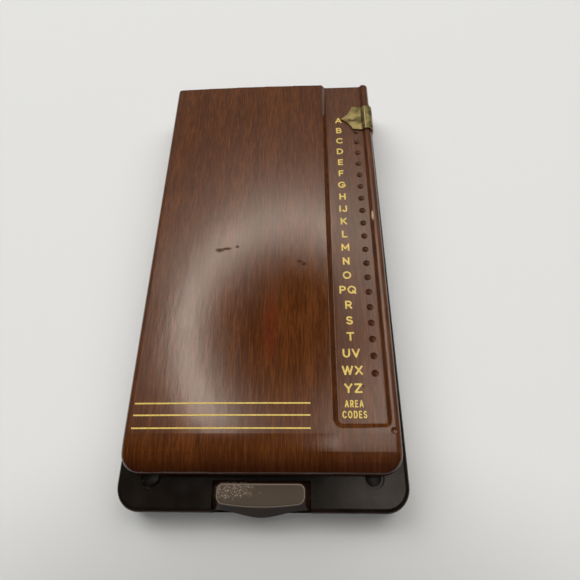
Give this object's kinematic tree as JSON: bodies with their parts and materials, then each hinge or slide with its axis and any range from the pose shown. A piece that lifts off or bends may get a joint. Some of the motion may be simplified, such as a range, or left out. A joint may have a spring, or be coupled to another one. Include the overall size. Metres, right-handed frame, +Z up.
{
  "type": "pop up telephone index",
  "caption": "Flat desk telephone index: moulded base, hinged wood-grain metal lid with a sliding brass pointer beside a letter scale, a stack of index cards on wire loops, front release bar",
  "frame": {"origin": "centre of the footprint, on the table under the rubber feet", "axes": "+Z up, +Y towards the rear hinge, +X to the pointer's side"},
  "size_m": [0.1236, 0.2362, 0.0257],
  "materials": {
    "phenolic_base": "moulded phenolic, worn satin",
    "phenolic_bar": "moulded phenolic, polished by thumbs",
    "rubber": "matte",
    "lid_enamel": "wood-grain printed enamel under clear lacquer",
    "zinc_steel": "zinc plated",
    "bright_steel": "drawn wire, nickel plated",
    "spring_steel": "oiled",
    "aged_brass": "stamped, tarnished",
    "cover_card": "stiff, matte",
    "index_card": "ruled, matte"
  },
  "bodies": {
    "base": {"base_tray": "phenolic_base", "foot_rear_left": "rubber", "foot_rear_right": "rubber", "foot_front_left": "rubber", "foot_front_right": "rubber", "lid_bumper_left": "rubber", "lid_bumper_right": "rubber", "base_hinge_leaf": "zinc_steel", "hinge_pin": "bright_steel", "opening_spring": "spring_steel", "hinge_screws": "zinc_steel", "loop_plate": "zinc_steel", "card_loop_left": "bright_steel", "card_loop_right": "bright_steel", "latch_pin": "bright_steel", "latch_bracket": "zinc_steel", "bracket_screws": "zinc_steel", "return_spring": "spring_steel"},
    "lid": {"lid_shell": "lid_enamel", "lid_catch": "zinc_steel", "lid_hinge_leaf": "zinc_steel"},
    "pointer_slider": {"pointer": "aged_brass", "pickup_finger": "zinc_steel", "finger_rivet": "aged_brass"},
    "release": {"release_bar": "phenolic_bar", "latch_lever": "zinc_steel", "bar_rivets": "zinc_steel"},
    "front_sheet": {"front_sheet": "cover_card"},
    "card_a": {"card_a": "index_card"},
    "card_b": {"card_b": "index_card"},
    "card_c": {"card_c": "index_card"},
    "card_d": {"card_d": "index_card"},
    "card_e": {"card_e": "index_card"},
    "card_f": {"card_f": "index_card"},
    "card_g": {"card_g": "index_card"},
    "card_h": {"card_h": "index_card"},
    "card_ij": {"card_ij": "index_card"},
    "card_k": {"card_k": "index_card"},
    "card_l": {"card_l": "index_card"},
    "card_m": {"card_m": "index_card"},
    "card_n": {"card_n": "index_card"},
    "card_o": {"card_o": "index_card"},
    "card_pq": {"card_pq": "index_card"},
    "card_r": {"card_r": "index_card"},
    "card_s": {"card_s": "index_card"},
    "card_t": {"card_t": "index_card"},
    "card_uv": {"card_uv": "index_card"},
    "card_wx": {"card_wx": "index_card"},
    "card_yz": {"card_yz": "index_card"},
    "card_area_codes": {"card_area_codes": "index_card"}
  },
  "joints": [
    {"name": "lid_hinge", "type": "hinge", "parent": "base", "child": "lid", "pos_m": [0, 0.1084, 0.015], "axis": [-1, 0, 0], "range_deg": [0, 70]},
    {"name": "pointer_slide", "type": "slide", "parent": "lid", "child": "pointer_slider", "axis": [0, -1, 0], "range_m": [0, 0.1632]},
    {"name": "bar_press", "type": "hinge", "parent": "base", "child": "release", "pos_m": [0, -0.0961, 0.0076], "axis": [1, 0, 0], "range_deg": [0, 9], "stiffness_Nm_per_rad": 0.12, "springref_deg": -5.73, "deforming": ["return_spring"]},
    {"name": "front_sheet_turn", "type": "hinge", "parent": "base", "child": "front_sheet", "pos_m": [0, 0.1084, 0.015], "axis": [-1, 0, 0], "range_deg": [0, 70]},
    {"name": "card_a_turn", "type": "hinge", "parent": "base", "child": "card_a", "pos_m": [0, 0.1036, 0.01464], "axis": [-1, 0, 0], "range_deg": [0, 70]},
    {"name": "card_b_turn", "type": "hinge", "parent": "base", "child": "card_b", "pos_m": [0, 0.1036, 0.01428], "axis": [-1, 0, 0], "range_deg": [0, 70]},
    {"name": "card_c_turn", "type": "hinge", "parent": "base", "child": "card_c", "pos_m": [0, 0.1036, 0.01392], "axis": [-1, 0, 0], "range_deg": [0, 70]},
    {"name": "card_d_turn", "type": "hinge", "parent": "base", "child": "card_d", "pos_m": [0, 0.1036, 0.01356], "axis": [-1, 0, 0], "range_deg": [0, 70]},
    {"name": "card_e_turn", "type": "hinge", "parent": "base", "child": "card_e", "pos_m": [0, 0.1036, 0.0132], "axis": [-1, 0, 0], "range_deg": [0, 70]},
    {"name": "card_f_turn", "type": "hinge", "parent": "base", "child": "card_f", "pos_m": [0, 0.1036, 0.01284], "axis": [-1, 0, 0], "range_deg": [0, 70]},
    {"name": "card_g_turn", "type": "hinge", "parent": "base", "child": "card_g", "pos_m": [0, 0.1036, 0.01248], "axis": [-1, 0, 0], "range_deg": [0, 70]},
    {"name": "card_h_turn", "type": "hinge", "parent": "base", "child": "card_h", "pos_m": [0, 0.1036, 0.01212], "axis": [-1, 0, 0], "range_deg": [0, 70]},
    {"name": "card_ij_turn", "type": "hinge", "parent": "base", "child": "card_ij", "pos_m": [0, 0.1036, 0.01176], "axis": [-1, 0, 0], "range_deg": [0, 70]},
    {"name": "card_k_turn", "type": "hinge", "parent": "base", "child": "card_k", "pos_m": [0, 0.1036, 0.0114], "axis": [-1, 0, 0], "range_deg": [0, 70]},
    {"name": "card_l_turn", "type": "hinge", "parent": "base", "child": "card_l", "pos_m": [0, 0.1036, 0.01104], "axis": [-1, 0, 0], "range_deg": [0, 70]},
    {"name": "card_m_turn", "type": "hinge", "parent": "base", "child": "card_m", "pos_m": [0, 0.1036, 0.01068], "axis": [-1, 0, 0], "range_deg": [0, 70]},
    {"name": "card_n_turn", "type": "hinge", "parent": "base", "child": "card_n", "pos_m": [0, 0.1036, 0.01032], "axis": [-1, 0, 0], "range_deg": [0, 70]},
    {"name": "card_o_turn", "type": "hinge", "parent": "base", "child": "card_o", "pos_m": [0, 0.1036, 0.00996], "axis": [-1, 0, 0], "range_deg": [0, 70]},
    {"name": "card_pq_turn", "type": "hinge", "parent": "base", "child": "card_pq", "pos_m": [0, 0.1036, 0.0096], "axis": [-1, 0, 0], "range_deg": [0, 70]},
    {"name": "card_r_turn", "type": "hinge", "parent": "base", "child": "card_r", "pos_m": [0, 0.1036, 0.00924], "axis": [-1, 0, 0], "range_deg": [0, 70]},
    {"name": "card_s_turn", "type": "hinge", "parent": "base", "child": "card_s", "pos_m": [0, 0.1036, 0.00888], "axis": [-1, 0, 0], "range_deg": [0, 70]},
    {"name": "card_t_turn", "type": "hinge", "parent": "base", "child": "card_t", "pos_m": [0, 0.1036, 0.00852], "axis": [-1, 0, 0], "range_deg": [0, 70]},
    {"name": "card_uv_turn", "type": "hinge", "parent": "base", "child": "card_uv", "pos_m": [0, 0.1036, 0.00816], "axis": [-1, 0, 0], "range_deg": [0, 70]},
    {"name": "card_wx_turn", "type": "hinge", "parent": "base", "child": "card_wx", "pos_m": [0, 0.1036, 0.0078], "axis": [-1, 0, 0], "range_deg": [0, 70]},
    {"name": "card_yz_turn", "type": "hinge", "parent": "base", "child": "card_yz", "pos_m": [0, 0.1036, 0.00744], "axis": [-1, 0, 0], "range_deg": [0, 70]},
    {"name": "card_area_codes_turn", "type": "hinge", "parent": "base", "child": "card_area_codes", "pos_m": [0, 0.1036, 0.00708], "axis": [-1, 0, 0], "range_deg": [0, 70]}
  ],
  "couplings": [
    {"joint": "front_sheet_turn", "follows": "lid_hinge", "ratio": 1},
    {"joint": "card_a_turn", "follows": "lid_hinge", "ratio": 0.03},
    {"joint": "card_b_turn", "follows": "lid_hinge", "ratio": 0.02867},
    {"joint": "card_c_turn", "follows": "lid_hinge", "ratio": 0.02733},
    {"joint": "card_d_turn", "follows": "lid_hinge", "ratio": 0.026},
    {"joint": "card_e_turn", "follows": "lid_hinge", "ratio": 0.02467},
    {"joint": "card_f_turn", "follows": "lid_hinge", "ratio": 0.02333},
    {"joint": "card_g_turn", "follows": "lid_hinge", "ratio": 0.022},
    {"joint": "card_h_turn", "follows": "lid_hinge", "ratio": 0.02067},
    {"joint": "card_ij_turn", "follows": "lid_hinge", "ratio": 0.01933},
    {"joint": "card_k_turn", "follows": "lid_hinge", "ratio": 0.018},
    {"joint": "card_l_turn", "follows": "lid_hinge", "ratio": 0.01667},
    {"joint": "card_m_turn", "follows": "lid_hinge", "ratio": 0.01533},
    {"joint": "card_n_turn", "follows": "lid_hinge", "ratio": 0.014},
    {"joint": "card_o_turn", "follows": "lid_hinge", "ratio": 0.01267},
    {"joint": "card_pq_turn", "follows": "lid_hinge", "ratio": 0.01133},
    {"joint": "card_r_turn", "follows": "lid_hinge", "ratio": 0.01},
    {"joint": "card_s_turn", "follows": "lid_hinge", "ratio": 0.00867},
    {"joint": "card_t_turn", "follows": "lid_hinge", "ratio": 0.00733},
    {"joint": "card_uv_turn", "follows": "lid_hinge", "ratio": 0.006},
    {"joint": "card_wx_turn", "follows": "lid_hinge", "ratio": 0.00467},
    {"joint": "card_yz_turn", "follows": "lid_hinge", "ratio": 0.00333},
    {"joint": "card_area_codes_turn", "follows": "lid_hinge", "ratio": 0.002}
  ]
}
